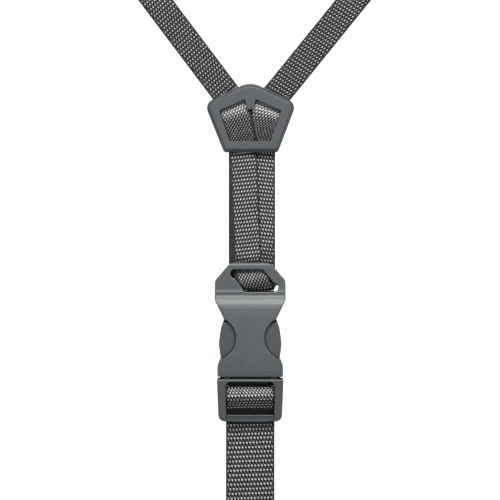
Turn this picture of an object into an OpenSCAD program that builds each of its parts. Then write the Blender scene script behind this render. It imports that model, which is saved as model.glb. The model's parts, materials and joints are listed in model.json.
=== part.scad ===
// Y-shaped webbing harness strap with a five-sided junction ring and a side-release buckle.
// It lies on its back: X across, Y along the strap towards the two arms, Z up out of the table.

/* [Webbing] */
// Width of the narrow webbing of the two arms
arm_width = 14.4; // [14:0.1:14.6]
// Thickness of the narrow webbing
arm_thick = 1.2; // [1:0.05:1.2]
// Width of the wide lower webbing
strap_width = 25; // [24:0.1:25.2]
// Thickness of the wide webbing
strap_thick = 1.4; // [1.2:0.05:1.4]
// Angle of the left arm from the centre line
left_angle = 37; // [36:0.5:38]
// Angle of the right arm from the centre line
right_angle = 39; // [38:0.5:40]
// Distance from the centre line to each arm's end eye
arm_reach = 70; // [60:1:90]
// Radius of the bar that an arm's end eye takes
arm_eye_r = 3; // [2.5:0.1:3.5]
// Radius of the bar that the lower strap's end eye takes
strap_eye_r = 4; // [3:0.1:5]

/* [Junction ring] */
// Gap along Y from the buckle's top edge to the ring's lower edge
ring_gap = 57.3; // [50:0.1:70]
// Height of the ring above the table
ring_h = 6.6; // [6.4:0.1:7]
// Width of the chamfer round the ring's front face
ring_chamfer = 1.5; // [1:0.1:1.8]

/* [Buckle] */
// Y of the socket half's top edge
buckle_y = 13; // [10:0.5:16]
// Wall between the socket's cavity and its front and back
socket_wall = 1.9; // [1.8:0.1:2]
// Radius of the scallops over the two finger pads
scallop_r = 11; // [10.8:0.1:11.2]
// Height of the plug half's frame at its inner edge
plug_h = 8.2; // [8:0.1:8.6]
// Half width of the plug half's webbing window
window_half = 12.65; // [12.65:0.05:13]

/* [Hidden] */
$fn = 64;
corner_steps = 6;        // facets in each rounded corner of an outline
tiny = 0.01;
ply_gap = 0.1;           // air between two plies of webbing

ring_y = buckle_y + ring_gap;
front_z = 1.5 * arm_thick + 0.15;     // middle of the upper ply
back_z = 0.5 * arm_thick + 0.05;      // middle of the lower ply
front_x = -3.85;                      // centre line of the front ply at the ring
front_low_x = -1.5;                   // centre line of the front ply at the buckle
back_x = 5.7;                         // centre line of the back ply

fold_gap = 4;                         // from the socket's top edge to the buckle's fold line
fold_y = buckle_y + fold_gap;
ply_top_y = ring_y + 2;               // the plies part here, under the ring's lower bar

load_z = 0.5 * strap_thick + 0.05;
tail_z = load_z + strap_thick + ply_gap;
exit_y = buckle_y - 86.5;             // fold line of the lower strap
adjust_y = buckle_y - 90;             // where the sliding runs of the lower strap begin

left_root = [-14.9, ring_y + 33.8];
right_root = [16.0, ring_y + 32.9];
left_eye_at = left_root
    + (arm_reach + left_root.x) / sin(left_angle) * [-sin(left_angle), cos(left_angle)];
right_eye_at = right_root
    + (arm_reach - right_root.x) / sin(right_angle) * [sin(right_angle), cos(right_angle)];
arm_eye_out = arm_eye_r + arm_thick;
strap_eye_out = strap_eye_r + strap_thick;
top_y = left_eye_at.y + arm_eye_out * cos(left_angle) + arm_width / 2 * sin(left_angle);
strap_eye_y = strap_eye_out - top_y;  // puts the lower end as far from the origin as the upper end
arm_throat = 10;                      // from an arm's eye to where its two plies meet
arm_foldback = 12;                    // length of an arm's folded end beyond the throat
strap_throat = 11;
strap_foldback = 10;
hem_end_y = buckle_y - 139;
hem_length = 12;

// Ribbon stations: [x, y, z, yaw, roll]; yaw and roll turn the width direction
left_route = [
    [left_root.x, left_root.y, back_z, left_angle, 0],
    [left_root.x + 0.5 * sin(left_angle), left_root.y - 0.5 * cos(left_angle), back_z, left_angle, 0],
    [-13.0, ring_y + 31.2, 0.75, 36, 0],
    [-11.0, ring_y + 28.0, 1.05, 31, 0],
    [-9.7, ring_y + 24.9, 1.75, 25, 0],
    [-9.1, ring_y + 22.6, 2.85, 21, 1],
    [-8.15, ring_y + 20.2, 3.85, 17, 2.5],
    [-7.1, ring_y + 17.0, 4.75, 11, 4.5],
    [-6.0, ring_y + 13.0, 4.4, 5, 5],
    [-4.6, ring_y + 9.2, 3.25, 2, 3],
    [-3.9, ring_y + 6.6, 2.35, 0, 1],
    [front_x, ring_y + 4.6, front_z, 0, 0],
    [front_x, ply_top_y, front_z, 0, 0]
];
right_route = [
    [right_root.x, right_root.y, back_z, -right_angle, 0],
    [right_root.x - 0.5 * sin(right_angle), right_root.y - 0.5 * cos(right_angle), back_z, -right_angle, 0],
    [13.6, ring_y + 30.1, 0.75, -37, 0],
    [11.3, ring_y + 27.4, 1.0, -31, 0],
    [9.7, ring_y + 24.6, 1.8, -25, 0],
    [9.0, ring_y + 22.2, 3.0, -21, 1],
    [8.3, ring_y + 19.8, 3.7, -17, 3],
    [7.6, ring_y + 16.8, 3.75, -10, 4.5],
    [6.6, ring_y + 13.0, 3.2, -4, 5],
    [5.8, ring_y + 9.2, 1.8, -1, 3],
    [5.7, ring_y + 6.6, 0.9, 0, 1],
    [back_x, ring_y + 4.6, back_z, 0, 0],
    [back_x, ply_top_y, back_z, 0, 0]
];
loop_route = [
    [front_low_x, fold_y, front_z, 0, 0],
    [front_low_x, buckle_y, front_z, 2, 0],
    [-1.3, buckle_y - 3.0, 2.0, 5, 0],
    [-0.7, buckle_y - 5.5, 2.5, 8, 0],
    [0.6, buckle_y - 8.0, 3.45, 9, 0],
    [1.6, buckle_y - 9.6, 3.75, 8, 0],
    [3.1, buckle_y - 11.9, 3.75, 5, 0],
    [4.3, buckle_y - 13.5, 3.4, 2, 0],
    [4.9, buckle_y - 14.15, 2.2, 0.5, 0],
    [5.2, buckle_y - 13.9, 1.25, 0, 0],
    [5.45, buckle_y - 13.2, 0.75, 0, 0],
    [5.6, buckle_y - 12.2, back_z, 0, 0],
    [back_x, buckle_y - 9, back_z, 0, 0],
    [back_x, fold_y, back_z, 0, 0]
];
ladder_route = [
    [0, exit_y, load_z, 0, 0],
    [0, buckle_y - 71.0, load_z, 0, 0],
    [0, buckle_y - 67.5, 0.77, 0, 0],
    [0, buckle_y - 66.0, 0.92, 0, 0],
    [0, buckle_y - 65.0, 1.4, 0, 0],
    [0, buckle_y - 64.6, 2.35, 0, 0],
    [0, buckle_y - 65.0, 3.35, 0, 0],
    [0, buckle_y - 66.6, 4.95, 0, 0],
    [0, buckle_y - 68.1, 6.4, 0, 0],
    [0, buckle_y - 69.3, 6.97, 0, 0],
    [0, buckle_y - 70.5, 6.4, 0, 0],
    [0, buckle_y - 72.2, 4.75, 0, 0],
    [0, buckle_y - 73.9, 3.1, 0, 0],
    [0, buckle_y - 75.0, 2.4, 0, 0],
    [0, buckle_y - 76.4, tail_z, 0, 0],
    [0, exit_y, tail_z, 0, 0]
];

function unit(v) = v / norm(v);
function bend(turn) = ((turn + 540) % 360) - 180;

// One rounded corner of an outline: an arc of radius r at point p, between its neighbours a and b
function corner(a, p, b, r) = r <= 0 ? [p] :
    let (u = unit(a - p), v = unit(b - p), half = acos(u * v) / 2,
         c = p + unit(u + v) * r / sin(half),
         from = p + u * r / tan(half) - c, to = p + v * r / tan(half) - c,
         start = atan2(from.y, from.x), sweep = bend(atan2(to.y, to.x) - start))
    [for (i = [0:corner_steps]) let (turn = start + sweep * i / corner_steps) c + r * [cos(turn), sin(turn)]];

// A closed outline from points [x, y, corner radius]
function rounded(p) = let (n = len(p)) [
    for (i = [0:n - 1]) each corner(
        [p[(i + n - 1) % n].x, p[(i + n - 1) % n].y], [p[i].x, p[i].y],
        [p[(i + 1) % n].x, p[(i + 1) % n].y], p[i][2])
];

// The right half of a symmetric outline, top to bottom, made whole
function both_sides(p) = concat(p, [for (i = [len(p) - 1:-1:0]) [-p[i].x, p[i].y, p[i][2]]]);

// A flat strap swept through stations
module ribbon(route, width, thick) {
    n = len(route);
    function at(i) = [route[i].x, route[i].y, route[i].z];
    function along(i) = at(min(i + 1, n - 1)) - at(max(i - 1, 0));
    function across(i) = let (yaw = route[i][3], roll = route[i][4])
        [cos(yaw) * cos(roll), sin(yaw) * cos(roll), sin(roll)];
    function up(i) = unit(cross(across(i), along(i)));
    function ring(i) = [for (k = [[-1, -1], [1, -1], [1, 1], [-1, 1]])
        at(i) + across(i) * k.x * width / 2 + up(i) * k.y * thick / 2];
    sides = [for (i = [0:n - 2], k = [0:3]) let (a = 4 * i + k, b = 4 * i + (k + 1) % 4)
        each [[a, b, b + 4], [a, b + 4, a + 4]]];
    last = 4 * (n - 1);
    polyhedron([for (i = [0:n - 1]) each ring(i)],
        concat([[3, 2, 1], [3, 1, 0]], sides, [[last, last + 1, last + 2], [last, last + 2, last + 3]]));
}

// Extrudes an outline drawn in Y and Z along X, centred
module along_x(width) {
    rotate([90, 0, 90]) translate([0, 0, -width / 2]) linear_extrude(width) children();
}

// ---- junction ring ----

ring_outer = [[0, 36.6, 12.5], [-23.7, 25.2, 4.7], [-13.6, 0, 2.2], [14.4, 0, 2.2], [24.0, 25.2, 4.7]];
ring_face = [[0, 34.6, 11], [-21.6, 24.3, 3.6], [-12.6, 1.5, 1.4], [13.3, 1.5, 1.4], [21.9, 24.3, 3.6]];
ring_window = [
    [-16.1, 21.3, 1], [-10.6, 5.3, 0.8], [10.6, 5.3, 0.8], [16.1, 21.3, 1],
    [2.9, 27.1, 0.5], [1.5, 21.9, 0.8], [-1.5, 21.9, 0.8], [-2.9, 27.1, 0.5]
];
ring_lip = 5;             // the window's front lip begins at this height
ring_bar_under = 2.7;     // underside of the upper bars, over the webbing
crossbar_low = 1.2;
crossbar_high = 2.25;

module ring_blank() {
    linear_extrude(ring_h - ring_chamfer) polygon(rounded(ring_outer));
    hull() {
        translate([0, 0, ring_h - ring_chamfer - tiny]) linear_extrude(tiny) polygon(rounded(ring_outer));
        translate([0, 0, ring_h - tiny]) linear_extrude(tiny) polygon(rounded(ring_face));
    }
}

// Room under an upper bar for an arm
module arm_channel(root, angle) {
    translate([root.x, root.y - ring_y, -1]) rotate([0, 0, angle])
        translate([-arm_width / 2 - 0.8, -16, 0]) cube([arm_width + 1.6, 22, 1 + ring_bar_under]);
}

module ring_crossbar() {
    slope = 0.447;
    reach = 17.2;
    rise = 3.5;
    translate([0, 0, crossbar_low]) linear_extrude(crossbar_high - crossbar_low) polygon([
        [-reach, 21 - slope * reach], [0, 21], [reach, 21 - slope * reach],
        [reach, 21 - slope * reach + rise], [0, 21 + rise], [-reach, 21 - slope * reach + rise]
    ]);
}

module y_ring() {
    undercut = [
        [-17.5, 22.6, 0.8], [-11.9, 5.3, 0.8], [11.9, 5.3, 0.8], [17.5, 22.6, 0.8],
        [1.7, 28.0, 0.4], [0.6, 22.6, 0.4], [-0.6, 22.6, 0.4], [-1.7, 28.0, 0.4]
    ];
    color([0.36, 0.38, 0.39]) translate([0, ring_y, 0]) {
        difference() {
            ring_blank();
            translate([0, 0, -1]) linear_extrude(ring_h + 2) polygon(rounded(ring_window));
            translate([0, 0, -1]) linear_extrude(1 + ring_lip) polygon(rounded(undercut));
            translate([-11.7, -2, -1]) cube([24.9, 14, 1 + 2.95]);
            arm_channel(left_root, left_angle);
            arm_channel(right_root, -right_angle);
        }
        difference() {
            ring_crossbar();
            translate([0, 0, -1]) linear_extrude(3) difference() {
                square(80, center = true);
                polygon(rounded([for (p = ring_face) [p.x * 0.98, p.y, p[2]]]));
            }
        }
        translate([0, 0, crossbar_low]) linear_extrude(ring_h - crossbar_low - 1)
            polygon([[-1.6, 27.4], [-0.5, 22.7], [0.5, 22.7], [1.6, 27.4]]);
        translate([0, 0, crossbar_low]) linear_extrude(crossbar_high - crossbar_low)
            polygon([[-3, 21.5], [-2.4, 17.6], [2.4, 17.6], [3, 21.5]]);
    }
}

module ring_webbing_left() { webbing_colour() ribbon(left_route, arm_width, arm_thick); }
module ring_webbing_right() { webbing_colour() ribbon(right_route, arm_width, arm_thick); }

// ---- webbing ends ----

module webbing_colour() { color([0.38, 0.37, 0.375]) children(); }
module thread_colour() { color([0.22, 0.215, 0.22]) children(); }

// A straight run of webbing lying along +Y from the origin
module flat_run(width, thick, length, z) {
    translate([-width / 2, 0, z - thick / 2]) cube([width, length, thick]);
}

// A sewn eye: its bar runs along X at the origin, and the strap leaves along -Y on the table
module sewn_eye(width, thick, eye_r, throat, foldback) {
    out = eye_r + thick;
    stack = 2 * thick + ply_gap;
    lean = 40;
    along_x(width) translate([0, out]) difference() {
        union() {
            circle(out);
            polygon([[0, -out], [0, 0], [-out * sin(lean), out * cos(lean)], [-throat, stack - out],
                [-throat, -out]]);
        }
        circle(eye_r);
    }
    translate([-width / 2, -throat - foldback, thick + ply_gap]) cube([width, foldback, thick]);
}

// Two dense rows of zigzag thread across the strap
module bartack_rows(width, thick, throat, foldback) {
    row = 1.8;
    for (y = [-throat - 2.4, -throat - foldback + 0.8])
        translate([-width / 2 + 1.2, y, 2 * thick + ply_gap]) cube([width - 2.4, row, 0.35]);
}

module at_eye(where, angle) { translate([where.x, where.y, 0]) rotate([0, 0, angle]) children(); }

module arm_run(root, eye_at, angle) {
    webbing_colour() translate([root.x, root.y, 0]) rotate([0, 0, angle])
        flat_run(arm_width, arm_thick, norm(eye_at - root) - arm_throat, back_z);
}

module left_arm_strap() { arm_run(left_root, left_eye_at, left_angle); }
module right_arm_strap() { arm_run(right_root, right_eye_at, -right_angle); }

module arm_eye() {
    webbing_colour() translate([0, 0, 0.05])
        sewn_eye(arm_width, arm_thick, arm_eye_r, arm_throat, arm_foldback);
}
module left_arm_eye() { at_eye(left_eye_at, left_angle) arm_eye(); }
module right_arm_eye() { at_eye(right_eye_at, -right_angle) arm_eye(); }

module arm_bartacks() {
    thread_colour() translate([0, 0, 0.05]) bartack_rows(arm_width, arm_thick, arm_throat, arm_foldback);
}
module left_arm_bartacks() { at_eye(left_eye_at, left_angle) arm_bartacks(); }
module right_arm_bartacks() { at_eye(right_eye_at, -right_angle) arm_bartacks(); }

// ---- doubled riser between ring and buckle ----

module riser_front_ply() {
    webbing_colour() ribbon([
        [front_x, ply_top_y, front_z, 0, 0],
        [front_low_x, fold_y, front_z, 0, 0]
    ], arm_width, arm_thick);
}

module riser_back_ply() {
    webbing_colour() ribbon([
        [back_x, ply_top_y, back_z, 0, 0],
        [back_x, fold_y, back_z, 0, 0]
    ], arm_width, arm_thick);
}

// ---- socket half of the buckle ----

socket_outline = both_sides([
    [10.3, 0, 5.2], [18.35, -9.3, 3.8], [18.35, -19.3, 3.4], [13.6, -28.9, 0.8],
    [13.0, -49.3, 0], [15.4, -49.3, 0.6], [16.9, -53, 1.6], [17.0, -59, 0.7]
]);
socket_side = [
    [0, 0.4], [-1, 0], [-57, 0], [-59, 0.5], [-59, 8.4],
    [-56, 9.0], [-52, 9.4], [-47, 9.7], [-40, 9.8], [-34, 9.7], [-29.5, 9.5], [-26, 9.25], [-23.5, 8.95],
    [-21.6, 8.55], [-20.2, 8.1], [-18.9, 7.5], [-17.0, 6.5],
    [-14.8, 6.7], [-14.5, 5.9], [-1.2, 5.9], [0, 5.2]
];
strap_window = [
    [-10.2, -3.5, 1.9], [-10.2, -7.9, 1.7], [-8.0, -8.0, 0.5], [-2.9, -15.2, 1], [14.7, -15.2, 1.9],
    [14.7, -10.9, 1.7], [12.6, -10.9, 0.8], [6.6, -3.5, 1.5]
];
hidden_bar = [[-9.4, 1.45, 0.7], [-12.9, 1.45, 0.75], [-12.9, 2.95, 0.72], [-9.4, 2.95, 0.72]];
cheek_left = -12.3;       // inner faces of the cheeks beside the webbing
cheek_right = 13.8;
under_bar = 2.95;         // underside of the strap bar
scallop_x = 18.25;
scallop_y = -39;

module socket_cavity() {
    translate([0, 0, socket_wall]) linear_extrude(7.65 - socket_wall) polygon([
        [-14.2, -60], [14.2, -60], [14.2, -49.3], [20, -49.3], [20, -28.2], [13.7, -28.2], [12.8, -23.4],
        [11.6, -22.2], [-11.6, -22.2], [-12.8, -23.4], [-13.7, -28.2], [-20, -28.2], [-20, -49.3],
        [-14.2, -49.3]
    ]);
}

module socket_ribs() {
    for (side = [-1, 1], low = [socket_wall - 0.2, 6.7])
        translate([side * 3.2 - 0.4, -57.5, low]) cube([0.8, 17, 1.15]);
}

// The bar that the webbing turns round, notched at its right end
module socket_strap_bar() {
    difference() {
        translate([(cheek_left + cheek_right) / 2, 0, 0])
            along_x(cheek_right - cheek_left + 0.6) polygon(rounded(hidden_bar));
        translate([13.1, -14, 1]) cube([2, 2.2, 3]);
    }
}

// Two low shelves between the cheeks, one beside the webbing and a narrow one below its fold
module socket_shelves() {
    translate([cheek_left - 0.1, -15.3, 0.1]) {
        cube([-2.6 - cheek_left, 12, 1]);
        cube([12.7 - cheek_left, 0.62, 0.6]);
    }
}

module buckle_socket() {
    color([0.39, 0.41, 0.42]) translate([0, buckle_y, 0]) {
        difference() {
            intersection() {
                linear_extrude(12) polygon(rounded(socket_outline));
                along_x(40) polygon(socket_side);
                rotate([90, 0, 0]) linear_extrude(60) polygon(rounded(both_sides([
                    [0, 9.85, 0], [12, 9.6, 6], [18.6, 8.2, 1.5], [18.6, 0, 1.2]
                ])));
            }
            for (side = [-1, 1])
                translate([side * scallop_x, scallop_y, -1]) cylinder(r = scallop_r, h = 14);
            socket_cavity();
            translate([0, 0, -1]) linear_extrude(12) polygon(rounded(strap_window));
            translate([cheek_left, -15.2, -1]) cube([cheek_right - cheek_left, 17, 1 + under_bar]);
        }
        socket_strap_bar();
        socket_shelves();
        socket_ribs();
    }
}

module socket_webbing_loop() { webbing_colour() ribbon(loop_route, arm_width, arm_thick); }

// ---- plug half of the buckle ----

plug_outline = both_sides([[17.2, -60, 0.5], [16.4, -81.9, 3.3], [7, -82.7, 6]]);
middle_bar = [[-66.1, 2.35], [-69.3, 5.45], [-72.2, 2.35]];   // centres of its three rounded edges
bar_edge_r = 0.6;
outer_bar_under = 3.1;

// What closes the joint with the socket: a low lip, two blocks between the prongs and two end pads
module plug_shoulders() {
    translate([-13.8, -60.1, 0.6]) cube([27.6, 0.8, 1.2]);
    for (side = [0, 1]) mirror([side, 0, 0]) {
        translate([2.6, -60.2, 3]) cube([7.5, 2.3, 3.5]);
        translate([13.9, -60.2, 0.6]) cube([1.6, 0.9, 6]);
    }
}

module plug_frame() {
    color([0.33, 0.34, 0.35]) translate([0, buckle_y, 0]) {
        difference() {
            intersection() {
                linear_extrude(12) polygon(rounded(plug_outline));
                along_x(40) polygon([
                    [-60, 0.5], [-61, 0], [-83, 0], [-83, 6.2], [-80, 6.6], [-64, 7.9], [-60.8, plug_h],
                    [-60, plug_h - 0.6]
                ]);
            }
            // between the rails the outer bar lies a little lower and slopes away
            along_x(2 * window_half) polygon([[-77, 6.3], [-77, 10], [-84, 10], [-84, 4.6], [-80.8, 4.8]]);
            intersection() {
                translate([0, 0, -1]) linear_extrude(12) polygon(rounded([
                    [-window_half, -61.6, 2.6], [window_half, -61.6, 2.6],
                    [window_half, -84, 0], [-window_half, -84, 0]
                ]));
                along_x(40) polygon([
                    [-61.5, -1], [-61.5, 10], [-79.1, 10], [-78.9, outer_bar_under + 1],
                    [-79.1, outer_bar_under], [-84, outer_bar_under], [-84, -1]
                ]);
            }
        }
        along_x(2 * window_half + 0.6) hull()
            for (p = middle_bar) translate(p) circle(bar_edge_r, $fn = 24);
        // a sill under the first slot
        translate([-window_half - 0.3, -64.35, 0.2]) cube([2 * window_half + 0.6, 2.9, 0.4]);
        plug_shoulders();
    }
}

module plug_guide_tongue() {
    color([0.33, 0.34, 0.35]) translate([0, buckle_y, 3.4]) linear_extrude(2.6)
        polygon(rounded([[-2.4, -60, 0], [2.4, -60, 0], [2.2, -42, 1], [-2.2, -42, 1]]));
}

module ladder_webbing() { webbing_colour() ribbon(ladder_route, strap_width, strap_thick); }

// A springy prong of the plug, on the right; its widest stretch is the finger pad
module prong() {
    color([0.37, 0.39, 0.4]) translate([0, buckle_y, 0]) intersection() {
        translate([0, 0, 2.1]) linear_extrude(6) polygon(rounded([
            [10.4, -60, 0], [13.7, -60, 0], [13.7, -50.5, 0.4], [13.9, -49.1, 0.3], [15.3, -49.1, 0.5],
            [16.3, -41.8, 18], [15.2, -34, 12], [13.0, -27.6, 2], [11.9, -24.4, 1.3], [9.3, -24.4, 1.2],
            [6.8, -30, 3], [6.7, -43, 4], [10.4, -52, 3]
        ]));
        along_x(40) polygon([[-61, 2], [-61, 7.45], [-31.2, 7.45], [-30.3, 6.3], [-20, 6.3], [-20, 2]]);
    }
}
module right_prong() { prong(); }
module left_prong() { mirror([1, 0, 0]) prong(); }

// ---- lower strap ----

module strap_exit_plies() {
    webbing_colour() translate([0, adjust_y, 0]) for (z = [load_z, tail_z])
        flat_run(strap_width, strap_thick, exit_y - adjust_y, z);
}

module load_strap() {
    start = strap_eye_y + strap_throat;
    webbing_colour() translate([0, start, 0]) flat_run(strap_width, strap_thick, adjust_y - start, load_z);
}

module load_strap_eye() {
    webbing_colour() translate([0, strap_eye_y, 0.05]) rotate([0, 0, 180])
        sewn_eye(strap_width, strap_thick, strap_eye_r, strap_throat, strap_foldback);
}

module load_strap_bartacks() {
    thread_colour() translate([0, strap_eye_y, 0.05]) rotate([0, 0, 180])
        bartack_rows(strap_width, strap_thick, strap_throat, strap_foldback);
}

module tail_strap() {
    webbing_colour() translate([0, hem_end_y + strap_thick, 0])
        flat_run(strap_width, strap_thick, adjust_y - hem_end_y - strap_thick, tail_z);
}

// The folded end of the tail: a turned-up edge and the ply folded back on top
module tail_hem() {
    webbing_colour() {
        translate([-strap_width / 2, hem_end_y, tail_z - strap_thick / 2])
            cube([strap_width, strap_thick, 2 * strap_thick + ply_gap]);
        translate([0, hem_end_y + strap_thick, 0])
            flat_run(strap_width, strap_thick, hem_length - strap_thick, tail_z + strap_thick + ply_gap);
    }
}

module tail_hem_stitches() {
    pitch = 3;
    length = 2.2;
    top = tail_z + 1.5 * strap_thick + ply_gap;
    thread_colour() for (i = [-3:3], y = [3.2, hem_length - 2.2])
        translate([i * pitch - length / 2, hem_end_y + y, top]) cube([length, 0.7, 0.3]);
}

y_ring();
ring_webbing_left();
ring_webbing_right();
left_arm_strap();
left_arm_eye();
left_arm_bartacks();
right_arm_strap();
right_arm_eye();
right_arm_bartacks();
riser_front_ply();
riser_back_ply();
buckle_socket();
socket_webbing_loop();
plug_frame();
plug_guide_tongue();
ladder_webbing();
left_prong();
right_prong();
strap_exit_plies();
load_strap();
load_strap_eye();
load_strap_bartacks();
tail_strap();
tail_hem();
tail_hem_stitches();
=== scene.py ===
"""Looks of the Y-shaped harness strap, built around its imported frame.

Lengths are in millimetres until a mesh is made.
"""

import json
import math

import bpy
import numpy as np
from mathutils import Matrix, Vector


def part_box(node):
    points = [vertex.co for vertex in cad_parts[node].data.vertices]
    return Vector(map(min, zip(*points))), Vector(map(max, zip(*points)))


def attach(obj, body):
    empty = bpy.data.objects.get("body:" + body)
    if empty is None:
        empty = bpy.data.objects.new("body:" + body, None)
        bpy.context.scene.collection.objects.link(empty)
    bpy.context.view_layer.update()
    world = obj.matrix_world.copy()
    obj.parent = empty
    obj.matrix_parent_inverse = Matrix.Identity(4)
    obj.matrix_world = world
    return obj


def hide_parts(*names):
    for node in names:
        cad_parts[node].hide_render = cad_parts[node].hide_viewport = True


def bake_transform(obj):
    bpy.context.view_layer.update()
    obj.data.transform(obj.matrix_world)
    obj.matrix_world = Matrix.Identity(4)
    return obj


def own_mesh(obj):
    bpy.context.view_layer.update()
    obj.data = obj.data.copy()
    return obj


MM = 0.001
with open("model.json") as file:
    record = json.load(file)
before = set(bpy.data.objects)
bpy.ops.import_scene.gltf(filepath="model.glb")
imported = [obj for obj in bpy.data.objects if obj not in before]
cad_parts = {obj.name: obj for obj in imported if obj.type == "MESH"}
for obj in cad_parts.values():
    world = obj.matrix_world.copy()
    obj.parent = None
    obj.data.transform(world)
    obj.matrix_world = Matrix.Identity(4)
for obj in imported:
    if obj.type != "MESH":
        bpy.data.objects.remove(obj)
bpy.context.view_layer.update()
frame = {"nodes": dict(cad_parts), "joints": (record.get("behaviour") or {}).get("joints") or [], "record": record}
nodes = frame["nodes"]


def node_box(name):
    """Lowest and highest corner of a CAD node, in millimetres."""
    low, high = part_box(name)
    return np.array(low) / MM, np.array(high) / MM


def find_joint(name):
    return next(j for j in frame["joints"] if j["name"] == name)


def joint_place(name):
    """A hinge's point in millimetres and its axis."""
    joint = find_joint(name)
    return np.array(joint["pos_m"]) / MM, np.array(joint["axis"], float)


# ---------------------------------------------------------------- dimensions

NARROW = {"width": 14.4, "thick": 1.2, "dot": 1.55, "row": 2.0, "slant": -0.11}
WIDE = {"width": 25.0, "thick": 1.4, "dot": 1.72, "row": 2.4, "slant": 0.03}
ROW_SHIFT = 0.3          # each row of light floats starts this share of a pitch further on
DOT_LEAN = 0.22
MARGIN = 0.65            # plain selvedge beside the light floats
PLY_GAP = 0.1            # air between two plies
STEP_ALONG = 0.36        # mesh spacing along a strap
STEP_ACROSS = 0.33       # mesh spacing across a strap
RELIEF = 0.17            # height of the woven floats
SPLINE_STEPS = 24        # samples of the smooth path between two stations

ring_low, ring_high = node_box("y_ring")
socket_low, socket_high = node_box("buckle_socket")
RING_Y = ring_low[1]
BUCKLE_Y = socket_high[1]
FRONT_Z = 1.5 * NARROW["thick"] + 0.15
BACK_Z = 0.5 * NARROW["thick"] + 0.05
LOAD_Z = 0.5 * WIDE["thick"] + 0.05
TAIL_Z = LOAD_Z + WIDE["thick"] + PLY_GAP
FRONT_X, FRONT_LOW_X, BACK_X = -3.85, -1.5, 5.7
SEAM_Y = RING_Y + 2.5    # under the ring's lower bar
FOLD_Y = joint_place("buckle_fold")[0][1]
RISER_END_Y = FOLD_Y + 9
EXIT_Y = joint_place("lower_strap_fold")[0][1]
ADJUST_Y = node_box("load_strap")[1][1]
HEM_END_Y = node_box("tail_hem")[0][1]
HEM_LENGTH = 12

LEFT_ROOT, LEFT_AXIS = joint_place("left_arm_fold")
RIGHT_ROOT, RIGHT_AXIS = joint_place("right_arm_fold")
LEFT_ANGLE = math.degrees(math.atan2(LEFT_AXIS[1], LEFT_AXIS[0]))
RIGHT_ANGLE = math.degrees(math.atan2(RIGHT_AXIS[1], RIGHT_AXIS[0]))
MOUNTS = {m["name"]: np.array(m["pos_m"]) / MM for m in frame["record"]["mounts"]}

# A strap's stations: x, y, z, then yaw and roll of its width direction in degrees. Four more values may
# follow: how densely its rows lie, its painted light (how bright its light floats are drawn, low in shade, where
# the dark ground is darkened too), how far its left selvedge curls out and how much it spreads.
STATION_DEFAULTS = (1.0, 1.0, 0.0, 1.0)
# In the routes the painted light is dim under the bars and in the slots, where shade falls, and bright where the
# strap rises towards the lamp.
LEFT_ROUTE = [
    (FRONT_X, RING_Y - 0.5, FRONT_Z, 0, 0),
    (FRONT_X, RING_Y + 2.0, FRONT_Z, 0, 0, 1.0, 0.5),
    (FRONT_X, RING_Y + 4.6, FRONT_Z, 0, 0, 1.4, 0.5),
    (-3.9, RING_Y + 6.6, 2.35, 0, 1, 1.6, 0.8),
    (-4.6, RING_Y + 9.2, 3.25, 2, 3, 1.6, 0.84),
    (-5.9, RING_Y + 13.0, 4.4, 5, 5, 1.6, 0.88, 0, 1.02),
    (-6.85, RING_Y + 17.0, 4.75, 11, 4.5, 1.5, 0.9, 0, 1.05),
    (-7.8, RING_Y + 20.2, 3.85, 17, 2.5, 1.3, 1.6, 0, 1.07),
    (-8.8, RING_Y + 22.6, 2.85, 21, 1, 1.3, 2.4, 0, 1.05),
    (-9.7, RING_Y + 24.9, 1.75, 25, 0, 1.2, 2.4),
    (-11.0, RING_Y + 28.0, 1.05, 31, 0),
    (-13.0, RING_Y + 31.2, 0.75, 36, 0, 1.0, 0.9),
]
RIGHT_ROUTE = [
    (BACK_X, RING_Y - 0.5, BACK_Z, 0, 0),
    (BACK_X, RING_Y + 2.0, BACK_Z, 0, 0, 1.0, 0.5),
    (BACK_X, RING_Y + 4.6, BACK_Z, 0, 0, 1.4, 0.5),
    (5.7, RING_Y + 6.6, 0.9, 0, 1, 1.6, 0.8),
    (5.8, RING_Y + 9.2, 1.8, -1, 3, 1.6, 0.84),
    (6.6, RING_Y + 13.0, 3.2, -4, 5, 1.6, 0.88),
    (7.4, RING_Y + 16.8, 3.75, -10, 4.5, 1.5, 0.9, 0, 1.03),
    (8.0, RING_Y + 19.8, 3.7, -17, 3, 1.3, 1.6, 0, 1.06),
    (8.8, RING_Y + 22.2, 3.0, -21, 1, 1.3, 2.4, 0, 1.05),
    (9.7, RING_Y + 24.6, 1.8, -25, 0, 1.2, 2.4),
    (11.3, RING_Y + 27.4, 1.0, -31, 0),
    (13.6, RING_Y + 30.1, 0.75, -37, 0, 1.0, 0.9),
]
SOCKET_ROUTE = [
    (FRONT_LOW_X, BUCKLE_Y, FRONT_Z, 2, 0, 1.0, 0.6, 2.3),
    (-1.2, BUCKLE_Y - 3.0, 2.0, 5, 0, 1.5, 0.8, 1.6, 1.02),
    (-0.2, BUCKLE_Y - 5.5, 2.5, 8, 0, 1.7, 1.15, 0.6, 1.08),
    (1.3, BUCKLE_Y - 8.0, 3.45, 9, 0, 1.7, 1.1, 0.0, 1.12),
    (2.2, BUCKLE_Y - 9.6, 3.75, 8, 0, 1.6, 0.9, 0.0, 1.12),
    (3.5, BUCKLE_Y - 11.9, 3.75, 5, 0, 1.5, 0.6, 0.0, 1.08),
    (4.4, BUCKLE_Y - 13.5, 3.4, 2, 0, 1.0, 0.45, 0.0, 1.03),
    (4.9, BUCKLE_Y - 14.15, 2.2, 0.5, 0, 1.0, 0.3),
    (5.2, BUCKLE_Y - 13.9, 1.25, 0, 0, 1.0, 0.3),
    (5.45, BUCKLE_Y - 13.2, 0.75, 0, 0, 1.0, 0.3),
    (5.6, BUCKLE_Y - 12.2, BACK_Z, 0, 0, 1.0, 0.3),
    (BACK_X, BUCKLE_Y - 9, BACK_Z, 0, 0, 1.0, 0.5),
]
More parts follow.
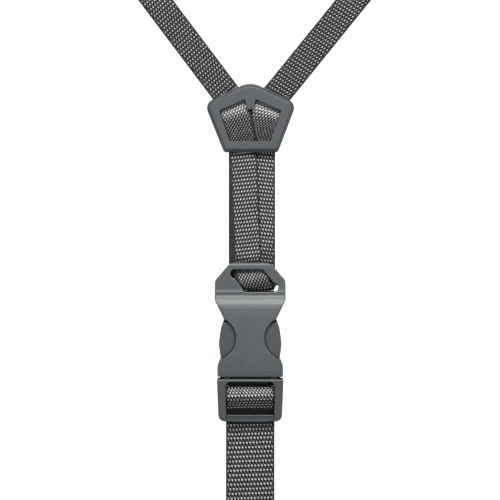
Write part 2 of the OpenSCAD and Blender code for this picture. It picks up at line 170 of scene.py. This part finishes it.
LADDER_ROUTE = [
    (0, BUCKLE_Y - 74.0, LOAD_Z, 0, 0),
    (0, BUCKLE_Y - 71.0, LOAD_Z, 0, 0),
    (0, BUCKLE_Y - 67.5, 0.77, 0, 0),
    (0, BUCKLE_Y - 66.0, 0.92, 0, 0),
    (0, BUCKLE_Y - 65.0, 1.4, 0, 0),
    (0, BUCKLE_Y - 64.6, 2.35, 0, 0, 1.5, 0.9),
    (0, BUCKLE_Y - 65.0, 3.35, 0, 0, 1.6, 1.25),
    (0, BUCKLE_Y - 66.6, 4.95, 0, 0, 1.6, 1.35),
    (0, BUCKLE_Y - 68.1, 6.4, 0, 0, 1.5, 1.35),
    (0, BUCKLE_Y - 69.3, 6.97, 0, 0, 1.3, 1.3),
    (0, BUCKLE_Y - 70.5, 6.4, 0, 0, 1.2, 1.25),
    (0, BUCKLE_Y - 72.2, 4.75, 0, 0, 1.2, 1.3),
    (0, BUCKLE_Y - 73.9, 3.1, 0, 0, 1.2, 1.3),
    (0, BUCKLE_Y - 75.0, 2.4, 0, 0, 1.1, 0.9),
    (0, BUCKLE_Y - 76.4, TAIL_Z, 0, 0, 1.0, 0.0),
    (0, BUCKLE_Y - 80.0, TAIL_Z, 0, 0, 1.0, 0.0),
]


def straight(a, b, every=4.0):
    """Stations from a towards b, both included, at most `every` mm apart."""
    a, b = np.array(a, float), np.array(b, float)
    count = max(1, math.ceil(np.linalg.norm((b - a)[:3]) / every))
    return [tuple(a + (b - a) * i / count) for i in range(count + 1)]


# ---------------------------------------------------------------- meshes


def make_mesh(name, verts_mm, faces, layers=(), smooth=True):
    """A mesh object from arrays. layers are (name, per-vertex pairs) that become UV maps."""
    mesh = bpy.data.meshes.new(name)
    mesh.from_pydata((np.asarray(verts_mm) * MM).tolist(), [], [list(map(int, f)) for f in faces])
    mesh.update()
    if layers:
        corner = np.zeros(len(mesh.loops), np.int32)
        mesh.loops.foreach_get("vertex_index", corner)
        for layer, pairs in layers:
            uv = mesh.uv_layers.new(name=layer)
            uv.data.foreach_set("uv", np.asarray(pairs, np.float32)[corner].ravel())
    if smooth:
        mesh.polygons.foreach_set("use_smooth", np.ones(len(mesh.polygons), bool))
    obj = bpy.data.objects.new(name, mesh)
    bpy.context.scene.collection.objects.link(obj)
    return obj


def spline(stations, step):
    """A smooth path through the stations, sampled evenly, and the distance along it."""
    p = np.array([(*station, *STATION_DEFAULTS[len(station) - 5:]) for station in stations], float)
    knots = np.concatenate([[0], np.cumsum(np.linalg.norm(np.diff(p[:, :3], axis=0), axis=1) ** 0.5)])
    slope = np.gradient(p, knots, axis=0)
    dense = []
    for i in range(len(p) - 1):
        h = knots[i + 1] - knots[i]
        t = np.arange(SPLINE_STEPS)[:, None] / SPLINE_STEPS
        dense.append(
            (2 * t**3 - 3 * t**2 + 1) * p[i]
            + (t**3 - 2 * t**2 + t) * h * slope[i]
            + (3 * t**2 - 2 * t**3) * p[i + 1]
            + (t**3 - t**2) * h * slope[i + 1]
        )
    dense = np.concatenate([*dense, p[-1:]])
    run = np.concatenate([[0], np.cumsum(np.linalg.norm(np.diff(dense[:, :3], axis=0), axis=1))])
    count = max(2, round(run[-1] / step))
    at = np.linspace(0, run[-1], count + 1)
    return np.stack([np.interp(at, run, column) for column in dense.T], axis=1), at


def weave_height(c, r):
    """Height of the woven face. c counts light floats across the strap, r counts their rows along it."""
    row = np.round(r)
    dy = r - row
    dx = c + ROW_SHIFT * row - DOT_LEAN * dy
    dx = dx - np.round(dx)
    light = np.exp(-((dx / 0.30) ** 2 + (dy / 0.26) ** 2))
    between = 0.5 - 0.5 * np.cos(2 * np.pi * r)
    cords = 0.5 + 0.5 * np.cos(4 * np.pi * c)
    return light + 0.45 * between * cords


def webbing(name, stations, kind, start_v, direction, slim=1.0):
    """A woven strap along the stations, and the weave's place at its end.

    start_v and direction give the weave's place along it, so that pieces that meet have one unbroken weave.
    slim shrinks the section, for a length inside another.
    """
    path, run = spline(stations, STEP_ALONG)
    width, thick = kind["width"] * (0.985 if slim < 1 else 1), kind["thick"] * slim
    centre = path[:, :3]
    yaw, roll = np.radians(path[:, 3]), np.radians(path[:, 4])
    across = np.stack([np.cos(yaw) * np.cos(roll), np.sin(yaw) * np.cos(roll), np.sin(roll)], axis=1)
    along = np.gradient(centre, axis=0)
    up = np.cross(across, along)
    up /= np.linalg.norm(up, axis=1)[:, None]
    dense, painted_light, curl, spread = path[:, 5], np.clip(path[:, 6], 0, None), path[:, 7], path[:, 8]
    v = start_v + direction * np.concatenate([[0], np.cumsum((dense[1:] + dense[:-1]) / 2 * np.diff(run))])

    count = round(width / STEP_ACROSS)
    u = np.linspace(-width / 2, width / 2, count + 1)
    edge = np.abs(2 * u / width)
    half = thick / 2 * (1 - 0.42 * edge**9)
    # one ring of the section: over the face and back under the other, with a bulging point at each selvedge
    bulge = 0.10
    ring_u = np.concatenate([u, [width / 2 + bulge], u[::-1], [-width / 2 - bulge]])
    side = np.concatenate([np.ones(count + 1), [0], -np.ones(count + 1), [0]])
    ring_half = np.concatenate([half, [0], half[::-1], [0]])
    c = np.repeat((ring_u / kind["dot"] + np.where(side < 0, 0.5, 0))[None, :], len(v), axis=0)
    r = (v[:, None] + kind["slant"] * ring_u[None, :]) / kind["row"]
    plain = MARGIN + np.where(ring_u < 0, 1, 0)[None, :] * np.clip(curl, 0, 0.5)[:, None]
    fade = np.clip((width / 2 - np.abs(ring_u)[None, :] - plain) / 0.3, 0, 1)
    relief = (weave_height(c, r) - 0.5) * RELIEF * fade
    selvedge = (1 - fade) * 0.05 * np.cos(4 * np.pi * r)
    lift = side[None, :] * (ring_half[None, :] + relief + selvedge - 0.5 * RELIEF)
    flat = across * spread[:, None]
    verts = centre[:, None, :] + flat[:, None, :] * ring_u[None, :, None]
    verts = verts + up[:, None, :] * lift[:, :, None]
    # the left selvedge may curl outwards and down
    pull = curl[:, None] * np.clip((-2 * ring_u / width - 0.88) / 0.12, 0, 1)[None, :]
    verts[:, :, 0] -= pull
    verts[:, :, 2] -= 0.3 * pull

    rows, cols = verts.shape[:2]
    i = np.arange(rows - 1)[:, None] * cols
    j = np.arange(cols)[None, :]
    k = (j + 1) % cols
    quads = np.stack([i + j, i + k, i + cols + k, i + cols + j], axis=-1).reshape(-1, 4)
    if np.dot(np.cross(across[0], along[0]), up[0]) > 0:
        quads = quads[:, ::-1]
    faces = quads.tolist()
    # end caps: each face point is joined to the one under it
    for base, flip in ((0, False), ((rows - 1) * cols, True)):
        low = [base + (2 * count + 2 - n) for n in range(count + 1)]
        high = [base + n for n in range(count + 1)]
        strip = [[high[n], high[n + 1], low[n + 1], low[n]] for n in range(count)]
        strip += [[high[count], base + count + 1, low[count]], [low[0], base + 2 * count + 3, high[0]]]
        faces += [f[::-1] for f in strip] if flip else strip

    def pairs(a, b):
        return np.stack([np.broadcast_to(a, c.shape), np.broadcast_to(b, c.shape)], axis=-1).reshape(-1, 2)

    layers = [
        ("weave", pairs(c, r)),
        ("lay", pairs(ring_u[None, :] / 10, v[:, None] / 10)),
        ("state", pairs(fade, dense[:, None] - 1)),
        ("painted_light_layer", pairs(painted_light[:, None], 0.0)),
    ]
    obj = make_mesh(name, verts.reshape(-1, 3), faces, layers)
    normals_out(obj)
    obj.data.materials.append(webbing_mat)
    return obj, v[-1]


def normals_out(obj):
    """Turns a closed mesh's faces outwards if its volume comes out negative."""
    mesh = obj.data
    mesh.calc_loop_triangles()
    co = np.zeros(len(mesh.vertices) * 3)
    mesh.vertices.foreach_get("co", co)
    co = co.reshape(-1, 3)
    tri = np.zeros(len(mesh.loop_triangles) * 3, np.int32)
    mesh.loop_triangles.foreach_get("vertices", tri)
    a, b, c = (co[tri.reshape(-1, 3)[:, n]] for n in range(3))
    if np.einsum("ij,ij->i", a, np.cross(b, c)).sum() < 0:
        mesh.flip_normals()


def stitches(name, spans, radius, arch):
    """Threads on a face: each span (a, b) is a short rounded thread that dips into the cloth at its ends."""
    verts, faces = [], []
    rings, sides = 9, 8
    for a, b in spans:
        a, b = np.array(a, float), np.array(b, float)
        direction = (b - a) / np.linalg.norm(b - a)
        flat = np.cross(direction, (0, 0, 1.0))
        base = len(verts)
        for i in range(rings):
            t = i / (rings - 1)
            size = radius * (max(0.0, 1 - (2 * t - 1) ** 4)) ** 0.5 + 0.02
            middle = a + (b - a) * t + np.array([0, 0, arch * math.sin(math.pi * t)])
            for k in range(sides):
                turn = 2 * math.pi * k / sides
                around = math.cos(turn) * flat + math.sin(turn) * np.array([0, 0, 1.0])
                verts.append(middle + size * around)
        for i in range(rings - 1):
            for k in range(sides):
                p, q = base + i * sides + k, base + i * sides + (k + 1) % sides
                faces.append((p, q, q + sides, p + sides))
        faces.append(tuple(base + k for k in range(sides))[::-1])
        faces.append(tuple(base + (rings - 1) * sides + k for k in range(sides)))
    obj = make_mesh(name, verts, faces)
    normals_out(obj)
    return obj


# ---------------------------------------------------------------- materials


# Painted shade: the plastic's colour and specular level darken in corners and under close neighbours.
SHADE_REACH = 0.0035     # metres over which the plastic's corners darken


class Nodes:
    """A short way to write a material's nodes."""

    def __init__(self, name):
        self.mat = bpy.data.materials.new(name)
        self.mat.use_nodes = True
        self.tree = self.mat.node_tree
        self.shader = self.tree.nodes["Principled BSDF"]

    def add(self, kind, **settings):
        node = self.tree.nodes.new(kind)
        for key, value in settings.items():
            setattr(node, key, value)
        return node

    def plug(self, source, socket):
        if isinstance(source, (int, float)):
            socket.default_value = source
        else:
            self.tree.links.new(source, socket)

    def math(self, operation, a, b=0.0, clamp=False):
        node = self.add("ShaderNodeMath", operation=operation, use_clamp=clamp)
        self.plug(a, node.inputs[0])
        self.plug(b, node.inputs[1])
        return node.outputs[0]

    def step(self, value, low, high):
        node = self.add("ShaderNodeMapRange", interpolation_type="SMOOTHSTEP")
        self.plug(value, node.inputs["Value"])
        node.inputs["From Min"].default_value = low
        node.inputs["From Max"].default_value = high
        return node.outputs["Result"]

    def span(self, value, low, high):
        node = self.add("ShaderNodeMapRange")
        self.plug(value, node.inputs["Value"])
        node.inputs["To Min"].default_value = low
        node.inputs["To Max"].default_value = high
        return node.outputs["Result"]

    def mix(self, factor, a, b):
        node = self.add("ShaderNodeMix", data_type="RGBA")
        self.plug(factor, node.inputs["Factor"])
        for value, socket in ((a, node.inputs[6]), (b, node.inputs[7])):
            if isinstance(value, tuple):
                socket.default_value = (*value, 1)
            else:
                self.plug(value, socket)
        return node.outputs[2]

    def noise(self, vector, scale, detail=3.0, rough=0.55):
        node = self.add("ShaderNodeTexNoise")
        self.plug(vector, node.inputs["Vector"])
        node.inputs["Scale"].default_value = scale
        node.inputs["Detail"].default_value = detail
        node.inputs["Roughness"].default_value = rough
        return node.outputs["Fac"]

    def stretched(self, vector, x, y, z=1.0):
        node = self.add("ShaderNodeMapping")
        self.plug(vector, node.inputs["Vector"])
        node.inputs["Scale"].default_value = (x, y, z)
        return node.outputs["Vector"]

    def shade(self, reach):
        """Near 0 in corners and under neighbours that stand closer than reach, 1 in the open."""
        node = self.add("ShaderNodeAmbientOcclusion", samples=12)
        node.inputs["Distance"].default_value = reach
        return self.step(node.outputs["AO"], 0.3, 0.88)

    def bump(self, height, strength, distance, normal=None):
        node = self.add("ShaderNodeBump")
        node.inputs["Strength"].default_value = strength
        node.inputs["Distance"].default_value = distance
        self.plug(height, node.inputs["Height"])
        if normal is not None:
            self.plug(normal, node.inputs["Normal"])
        return node.outputs["Normal"]

    def finish(self, colour, roughness, normal, **constants):
        self.plug(colour, self.shader.inputs["Base Color"])
        self.plug(roughness, self.shader.inputs["Roughness"])
        self.plug(normal, self.shader.inputs["Normal"])
        for key, value in constants.items():
            self.shader.inputs[key.replace("_", " ")].default_value = value
        return self.mat


def webbing_material(name, dark, light):
    """Dark cloth with rows of small light floats, fibres along the strap and a plain selvedge; light and shade are
    painted along it from the stations' painted light.
    """
    n = Nodes(name)

    def uv(layer):
        parts = n.add("ShaderNodeSeparateXYZ")
        n.plug(n.add("ShaderNodeUVMap", uv_map=layer).outputs[0], parts.inputs[0])
        return parts.outputs[0], parts.outputs[1]

    c, r = uv("weave")
    fade, dense = uv("state")
    painted_light, _ = uv("painted_light_layer")
    lay = n.add("ShaderNodeUVMap", uv_map="lay").outputs[0]
    fibre = n.noise(n.stretched(lay, 26.0, 9.0), 1.0, 4.0, 0.7)
    fuzz = n.noise(n.stretched(lay, 11.0, 11.0), 1.0, 3.0, 0.6)
    patch = n.noise(n.stretched(lay, 0.9, 0.9), 1.0, 2.0)

    def floats(c, r, size):
        """Brightness of one lattice of floats, and its row number."""
        row = n.math("ROUND", r)
        dy = n.math("SUBTRACT", r, row)
        along = n.math("ADD", c, n.math("MULTIPLY", row, ROW_SHIFT))
        along = n.math("SUBTRACT", along, n.math("MULTIPLY", dy, DOT_LEAN))
        cell = n.math("ROUND", along)
        dx = n.math("SUBTRACT", along, cell)
        far = n.math("ADD", n.math("POWER", n.math("ABSOLUTE", n.math("DIVIDE", dx, 0.27 * size)), 2.0),
                     n.math("POWER", n.math("ABSOLUTE", n.math("DIVIDE", dy, 0.23 * size)), 2.0))
        # painted light: the floats swell where the painted light is high
        far = n.math("DIVIDE", far, n.math("MAXIMUM", painted_light, 0.6))
        far = n.math("ADD", far, n.math("MULTIPLY", n.math("SUBTRACT", fuzz, 0.5), 0.7))
        place = n.add("ShaderNodeCombineXYZ")
        n.plug(cell, place.inputs[0])
        n.plug(row, place.inputs[1])
        own = n.add("ShaderNodeTexWhiteNoise", noise_dimensions="2D")
        n.plug(place.outputs[0], own.inputs["Vector"])
        return n.math("MULTIPLY", n.step(far, 1.25, 0.35), n.span(own.outputs["Value"], 0.68, 1.0))

    main = floats(c, r, 1.0)
    second = floats(n.math("ADD", c, 0.5), n.math("ADD", r, 0.5), 0.85)
    second_share = n.math("ADD", n.math("MULTIPLY", n.step(dense, 0.1, 0.6), 0.42), 0.16)
    second = n.math("MULTIPLY", second, second_share)
    dots = n.math("MAXIMUM", main, second)
    dots = n.math("MULTIPLY", dots, n.math("MULTIPLY", fade, n.span(patch, 0.74, 1.1)))
    loops = n.math("ADD", n.math("COSINE", n.math("MULTIPLY", r, 4 * math.pi)), n.span(fuzz, -0.9, 0.9))
    loops = n.math("MULTIPLY", n.step(loops, 0.0, 1.2), n.math("SUBTRACT", 1.0, fade))
    dots = n.math("MAXIMUM", dots, n.math("MULTIPLY", loops, 0.11))
    # painted light and shade: the floats brighten and dim with the painted light
    dots = n.math("MULTIPLY", dots, painted_light, clamp=True)
    cords = n.math("COSINE", n.math("MULTIPLY", c, 4 * math.pi))
    cords = n.math("ADD", n.math("MULTIPLY", cords, 0.5), 0.5)
    ground = n.mix(cords, tuple(0.45 * x for x in dark), dark)
    ground = n.mix(n.step(fibre, 0.42, 0.72), ground, tuple(2.0 * x for x in dark))
    # painted shade: the ground darkens where the painted light is low
    ground = n.mix(n.step(painted_light, 0.0, 0.45), tuple(0.2 * x for x in dark), ground)
    bright = n.mix(n.step(fibre, 0.3, 0.7), light, tuple(0.7 * x for x in light))
    colour = n.mix(dots, ground, bright)
    height = n.math("ADD", dots, n.math("MULTIPLY", n.math("ADD", fibre, cords), 0.3))
    normal = n.bump(height, 0.5, 0.00012)
    return n.finish(colour, n.span(fibre, 0.6, 0.8), normal, Specular_IOR_Level=0.2, Sheen_Weight=0.03)


def plastic_material(name, colour, light_colour, grain, edge_highlight):
    """Moulded plastic: a fine spark-eroded grain and slight cloudiness, with a painted highlight on its edges and
    painted shade in its corners.

    grain is the strength of the bump, and the last argument says how bright the painted highlight on the edges is.
    """
    n = Nodes(name)
    place = n.add("ShaderNodeTexCoord").outputs["Object"]
    cloud = n.noise(place, 90.0, 3.0)
    fine = n.noise(place, 3800.0, 3.0, 0.6)
    coarse = n.noise(place, 1500.0, 2.0, 0.5)
    # painted highlight: convex edges, found by their pointiness, are lightened towards the light grey
    edge = n.step(n.add("ShaderNodeNewGeometry").outputs["Pointiness"], 0.508, 0.57)
    base = n.mix(n.step(cloud, 0.3, 0.7), colour, tuple(1.12 * x for x in colour))
    base = n.mix(n.math("MULTIPLY", n.step(fine, 0.5, 0.75), 0.25), base, light_colour)
    # the painted highlight on the edges, as strong as the last argument
    base = n.mix(n.math("MULTIPLY", edge, edge_highlight), base, light_colour)
    base = n.mix(n.math("MULTIPLY", n.step(coarse, 0.35, 0.65), 0.22), base, tuple(0.5 * x for x in colour))
    # painted shade in corners and under close neighbours: the colour falls to 0.08 of the grey and the specular
    # level with it
    shade = n.shade(SHADE_REACH)
    base = n.mix(shade, tuple(0.08 * x for x in colour), base)
    n.plug(n.math("MULTIPLY", shade, 0.6), n.shader.inputs["Specular IOR Level"])
    normal = n.bump(n.math("ADD", fine, n.math("MULTIPLY", coarse, 0.8)), grain, 0.00006)
    return n.finish(base, n.span(fine, 0.3, 0.42), normal)


def thread_material(name, colour):
    n = Nodes(name)
    place = n.add("ShaderNodeTexCoord").outputs["Object"]
    twist = n.noise(n.stretched(place, 5200.0, 1800.0, 1800.0), 1.0, 2.0)
    base = n.mix(twist, tuple(0.6 * x for x in colour), tuple(1.5 * x for x in colour))
    return n.finish(base, 0.55, n.bump(twist, 0.5, 0.00008), Sheen_Weight=0.1)


# ---------------------------------------------------------------- the straps

webbing_mat = webbing_material("webbing", (0.015, 0.0135, 0.0145), (0.92, 0.88, 0.89))
thread_mat = thread_material("thread", (0.045, 0.043, 0.045))

ARM_THROAT, ARM_FOLDBACK, ARM_EYE_R = 10, 12, 3.0
STRAP_THROAT, STRAP_FOLDBACK, STRAP_EYE_R = 11, 10, 4.0


def eye_stations(kind, eye_r, throat, foldback, before):
    """A sewn eye in its own frame: its bar is along X at y 0, and the strap starts `before` mm down -Y."""
    thick = kind["thick"]
    turn_r = eye_r + thick / 2 + 0.05
    low = 0.05 + thick / 2
    centre = 0.05 + eye_r + thick
    top = low + thick + PLY_GAP
    out = straight((0, -before, low), (0, -3.0, low))[:-1] if before > 3 else []
    arc = [
        (0, turn_r * math.sin(a), centre - turn_r * math.cos(a))
        for a in map(math.radians, range(0, 221, 20))
    ]
    end = arc[-1]
    slope = [(0, end[1] + (-throat - end[1]) * t, end[2] + (top - end[2]) * (t**0.85)) for t in (0.35, 0.7)]
    back = straight((0, -throat - 0.5, top + 0.05), (0, -throat - foldback, top), 3.0)
    return [tuple(p) for p in [*out, *arc, *slope, *back]]


def placed(points, origin, angle):
    """Stations from points in an eye's frame, turned by angle about Z and moved to origin."""
    a = math.radians(angle)
    made = []
    for x, y, z in points:
        made.append((
            origin[0] + x * math.cos(a) - y * math.sin(a),
            origin[1] + x * math.sin(a) + y * math.cos(a),
            z, angle, 0,
        ))
    return made


def arm(side, route, root, angle, eye_at, body):
    """One whole arm from under the ring's lower bar to its sewn eye."""
    reach = float(np.linalg.norm((eye_at - root)[:2]))
    tail = placed(eye_stations(NARROW, ARM_EYE_R, ARM_THROAT, ARM_FOLDBACK, reach - 1.0), eye_at, angle)
    obj, _ = webbing(f"{side}_webbing", [*route, *tail], NARROW, RING_Y - 0.5, 1)
    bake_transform(obj)
    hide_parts(f"ring_webbing_{side}", f"{side}_arm_strap", f"{side}_arm_eye")
    tacks = bartack(f"{side}_arm_tacks", NARROW, ARM_THROAT, ARM_FOLDBACK, eye_at, angle)
    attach(tacks, body)
    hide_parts(f"{side}_arm_bartacks")


def bartack(name, kind, throat, foldback, origin, angle):
    """Two dense bands of zigzag thread across the folded end."""
    half, band, pitch = kind["width"] / 2 - 1.6, 1.9, 0.42
    top = 0.05 + 2 * kind["thick"] + PLY_GAP + 0.02
    spans = []
    for start in (-throat - 2.6, -throat - foldback + 0.9):
        count = int(2 * half / pitch)
        for i in range(count):
            x = -half + i * pitch
            ends = ((x, start, top), (x + pitch * 0.9, start + band, top))
            if i % 2:
                ends = ((x + pitch * 0.9, start, top), (x, start + band, top))
            spans.append([p[:3] for p in placed(ends, origin, angle)])
    obj = stitches(name, spans, 0.24, 0.12)
    obj.data.materials.append(thread_mat)
    return obj


arm("left", LEFT_ROUTE, LEFT_ROOT, LEFT_ANGLE, MOUNTS["left_arm_eye"], "left_arm")
arm("right", RIGHT_ROUTE, RIGHT_ROOT, RIGHT_ANGLE, MOUNTS["right_arm_eye"], "right_arm")


RISER_BRIGHTNESS = 1.25        # the riser's light floats are this much brighter than the arms'


def front_x(y):
    """Centre line of the slanting front ply."""
    return FRONT_LOW_X + (FRONT_X - FRONT_LOW_X) * (y - FOLD_Y) / (RING_Y + 2 - FOLD_Y)


def front_stations(high, low):
    """The front ply from high to low; its curled left selvedge keeps one straight outline."""
    made = straight((front_x(high), high, FRONT_Z, 0, 0), (front_x(low), low, FRONT_Z, 0, 0))
    return [(*station, 1.0, RISER_BRIGHTNESS, station[0] - FRONT_X) for station in made]


loop_stations = [
    *front_stations(RISER_END_Y, FOLD_Y),
    (FRONT_LOW_X, BUCKLE_Y + 2, FRONT_Z, 1, 0, 1.0, 1.0, 2.3),
    *SOCKET_ROUTE,
    *straight(
        (BACK_X, BUCKLE_Y - 6, BACK_Z, 0, 0, 1.0, 0.8),
        (BACK_X, RISER_END_Y, BACK_Z, 0, 0, 1.0, RISER_BRIGHTNESS),
    ),
]
socket_loop, back_v = webbing("socket_loop", loop_stations, NARROW, RISER_END_Y, -1)
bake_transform(socket_loop)
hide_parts("socket_webbing_loop")


def riser_ply(name, node, stations, start_v, direction):
    """A riser ply from under the ring's lower bar to the buckle's strap loop; the ring's slide gathers it."""
    obj, _ = webbing(name, stations, NARROW, start_v, direction)
    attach(obj, "riser")
    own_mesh(obj)
    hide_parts(node)


riser_ply("riser_front", "riser_front_ply", front_stations(SEAM_Y, RISER_END_Y), SEAM_Y, -1)
back_ends = [(BACK_X, y, BACK_Z, 0, 0, 1.0, RISER_BRIGHTNESS) for y in (RISER_END_Y, SEAM_Y)]
riser_ply("riser_back", "riser_back_ply", straight(*back_ends), back_v, -1)

TAIL_BRIGHTNESS = 1.25
HIDDEN_END_Y = ADJUST_Y - 15     # lower end of the length that hides inside the tail
ladder_stations = [
    *straight((0, ADJUST_Y, LOAD_Z, 0, 0), (0, BUCKLE_Y - 77.0, LOAD_Z, 0, 0)),
    *LADDER_ROUTE,
    (0, BUCKLE_Y - 82.5, TAIL_Z, 0, 0, 1.1, 0.6),
    (0, EXIT_Y, TAIL_Z, 0, 0, 1.0, 0.9),
    *straight((0, EXIT_Y - 1.5, TAIL_Z, 0, 0, 1.0, 1.1), (0, ADJUST_Y - 0.3, TAIL_Z, 0, 0, 1.0, TAIL_BRIGHTNESS)),
]
ladder, tail_v = webbing("ladder_loop", ladder_stations, WIDE, ADJUST_Y, 1)
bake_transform(ladder)
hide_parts("ladder_webbing", "strap_exit_plies")


def load_run():
    """The load side of the lower strap: a run that gathers as the strap is tightened, and its sewn eye."""
    eye_at = MOUNTS["lower_strap_eye"]
    seam_y = eye_at[1] + STRAP_THROAT + 4.0
    flat = straight((0, ADJUST_Y, LOAD_Z, 0, 0), (0, seam_y, LOAD_Z, 0, 0))
    run, _ = webbing("load_run", flat, WIDE, ADJUST_Y, -1)
    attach(run, "load_end")
    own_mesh(run)
    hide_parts("load_strap")
    stations = eye_stations(WIDE, STRAP_EYE_R, STRAP_THROAT, STRAP_FOLDBACK, seam_y - eye_at[1])
    stations = [(x, y, z, 0, 0) for x, y, z, _, _ in placed(stations, eye_at, 180)]
    eye, _ = webbing("load_eye", stations, WIDE, seam_y, -1)
    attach(eye, "load_end")
    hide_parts("load_strap_eye")
    tacks = bartack("load_tacks", WIDE, STRAP_THROAT, STRAP_FOLDBACK, eye_at, 180)
    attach(tacks, "load_end")
    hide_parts("load_strap_bartacks")


def tail_run():
    """The tail: it lies on the load side, and its end is folded up, back on itself and stitched."""
    thick = WIDE["thick"]
    turn = (thick + PLY_GAP) / 2
    end_y = HEM_END_Y + turn + thick / 2
    arc = [
        (0, end_y - turn * math.sin(a), TAIL_Z + turn - turn * math.cos(a), 0, 0)
        for a in map(math.radians, range(0, 181, 22))
    ]
    top_z = TAIL_Z + thick + PLY_GAP
    back = straight((0, end_y + 1.5, top_z, 0, 0), (0, HEM_END_Y + HEM_LENGTH, top_z, 0, 0), 3.0)
    flat = straight(*((0, y, TAIL_Z, 0, 0, 1.0, TAIL_BRIGHTNESS) for y in (ADJUST_Y, end_y + 1.5)))
    obj, _ = webbing("tail_run", [*flat, *arc, *back], WIDE, tail_v, 1)
    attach(obj, "tail_end")
    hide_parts("tail_strap", "tail_hem")
    top = top_z + thick / 2 - 0.08
    pitch, length = 3.0, 2.3
    spans = []
    for y in (3.55, HEM_LENGTH - 1.85):
        for i in range(-3, 4):
            x = i * pitch - length / 2
            spans.append(((x, HEM_END_Y + y, top), (x + length, HEM_END_Y + y, top)))
    thread = stitches("hem_thread", spans, 0.26, 0.14)
    thread.data.materials.append(thread_mat)
    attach(thread, "tail_end")
    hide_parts("tail_hem_stitches")


def tail_inner():
    """A length inside the tail that shows only where the tail has slid away from the ladder lock."""
    stations = straight((0, ADJUST_Y + 1.5, TAIL_Z, 0, 0), (0, HIDDEN_END_Y, TAIL_Z, 0, 0))
    obj, _ = webbing("tail_inner", stations, WIDE, tail_v - 1.5, 1, slim=0.78)
    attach(obj, "lower_strap")


load_run()
tail_run()
tail_inner()

# ---------------------------------------------------------------- moulded parts


def moulded(name, material, voxel):
    """A CAD node kept as it is, with its edges rounded as a mould leaves them. voxel is in millimetres."""
    obj = nodes[name]
    weld = obj.modifiers.new("weld", "WELD")
    weld.merge_threshold = 0.00001
    remesh = obj.modifiers.new("remesh", "REMESH")
    remesh.mode = "VOXEL"
    remesh.voxel_size = voxel * MM
    remesh.use_smooth_shade = True
    smooth = obj.modifiers.new("smooth", "SMOOTH")
    smooth.factor = 0.5
    smooth.iterations = 3
    obj.data.materials.clear()
    obj.data.materials.append(material)


GREY, GREY_LIGHT = (0.080, 0.089, 0.094), (0.26, 0.275, 0.285)
SOCKET_GREY, PLUG_GREY = tuple(1.25 * x for x in GREY), tuple(0.95 * x for x in GREY)
ring_mat = plastic_material("ring_plastic", GREY, GREY_LIGHT, grain=0.3, edge_highlight=0.75)
socket_mat = plastic_material("socket_plastic", SOCKET_GREY, GREY_LIGHT, grain=0.35, edge_highlight=0.75)
plug_mat = plastic_material("plug_plastic", PLUG_GREY, GREY_LIGHT, grain=0.3, edge_highlight=0.4)
moulded("y_ring", ring_mat, 0.22)
moulded("buckle_socket", socket_mat, 0.34)
moulded("plug_frame", plug_mat, 0.28)
for plug_node in ("plug_guide_tongue", "left_prong", "right_prong"):
    moulded(plug_node, plug_mat, 0.26)

# ---------------------------------------------------------------- floor, light and camera

FRAME_MM = 260.0         # width of what the camera sees at the strap's height
VIEW_X, VIEW_Y = -0.1, BUCKLE_Y + 6.5
LENS, SENSOR = 100.0, 36.0
FLOOR_HALF = 6.0         # metres


def stage():
    mesh = bpy.data.meshes.new("floor")
    s = FLOOR_HALF
    mesh.from_pydata([(-s, -s, 0), (s, -s, 0), (s, s, 0), (-s, s, 0)], [], [(0, 1, 2, 3)])
    floor = bpy.data.objects.new("floor", mesh)
    bpy.context.scene.collection.objects.link(floor)
    n = Nodes("floor")
    n.shader.inputs["Base Color"].default_value = (0.4, 0.4, 0.4, 1)
    n.shader.inputs["Roughness"].default_value = 0.9
    n.shader.inputs["Specular IOR Level"].default_value = 0.0
    n.shader.inputs["Emission Color"].default_value = (1, 1, 1, 1)
    # white to the camera, dim as a lamp, so that the parts keep their dark outlines
    seen = n.add("ShaderNodeLightPath").outputs["Is Camera Ray"]
    n.plug(n.span(seen, 0.12, 1.0), n.shader.inputs["Emission Strength"])
    mesh.materials.append(n.mat)

    aim = Vector((0, 0.02, 0))

    def lamp(name, place, size, watts):
        light = bpy.data.lights.new(name, "AREA")
        light.shape = "RECTANGLE"
        light.size, light.size_y = size
        light.energy = watts
        obj = bpy.data.objects.new(name, light)
        obj.location = place
        obj.rotation_euler = (aim - Vector(place)).to_track_quat("-Z", "Y").to_euler()
        bpy.context.scene.collection.objects.link(obj)

    lamp("key", (0.05, 0.71, 0.85), (0.7, 0.4), 10.8)
    lamp("top", (-0.1, -0.1, 1.3), (1.2, 1.2), 2.0)
    world = bpy.data.worlds.new("world")
    world.use_nodes = True
    world.node_tree.nodes["Background"].inputs["Color"].default_value = (0.95, 0.97, 1.0, 1)
    world.node_tree.nodes["Background"].inputs["Strength"].default_value = 0.22
    bpy.context.scene.world = world
    bpy.context.scene.view_settings.view_transform = "Standard"

    camera = bpy.data.cameras.new("camera")
    camera.lens, camera.sensor_width = LENS, SENSOR
    obj = bpy.data.objects.new("camera", camera)
    distance = FRAME_MM / 2 / (SENSOR / 2 / LENS)
    obj.location = (VIEW_X * MM, VIEW_Y * MM, (distance + 2) * MM)
    bpy.context.scene.collection.objects.link(obj)
    bpy.context.scene.camera = obj


stage()
